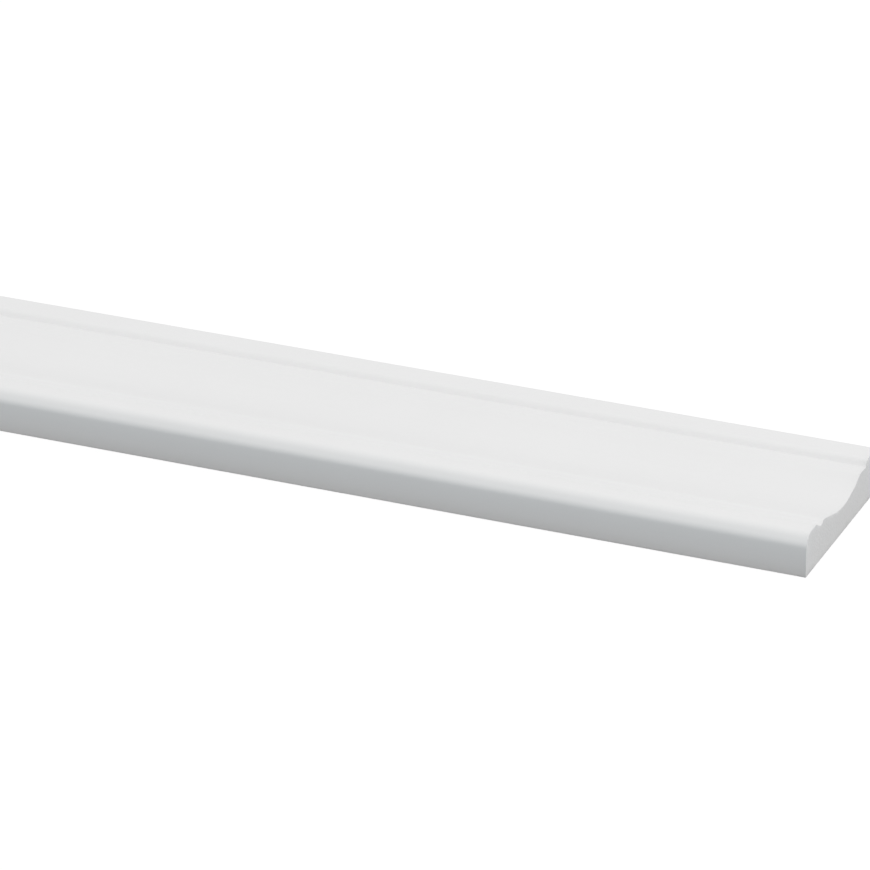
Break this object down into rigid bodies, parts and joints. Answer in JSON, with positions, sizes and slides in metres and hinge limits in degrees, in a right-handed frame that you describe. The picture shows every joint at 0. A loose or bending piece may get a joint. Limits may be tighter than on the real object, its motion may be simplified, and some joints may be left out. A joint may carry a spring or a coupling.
{
  "type": "decorative moulding",
  "caption": "Straight length of flat-backed decorative moulding: rounded nose, quirk and roll, long shallow hollow, fillet, low step and wide flat band, for gluing to a wall or ceiling.",
  "frame": {"origin": "centre of the flat back", "axes": "+X along the strip, +Y across it from the rounded nose to the flat band, +Z out of the back towards the moulded face"},
  "size_m": [0.4, 0.082, 0.019],
  "materials": {
    "white_foam": "matt white extruded hard foam, smooth skin on the profile and fine open cells on the sawn ends"
  },
  "bodies": {
    "root": {"moulding": "white_foam"}
  },
  "joints": []
}
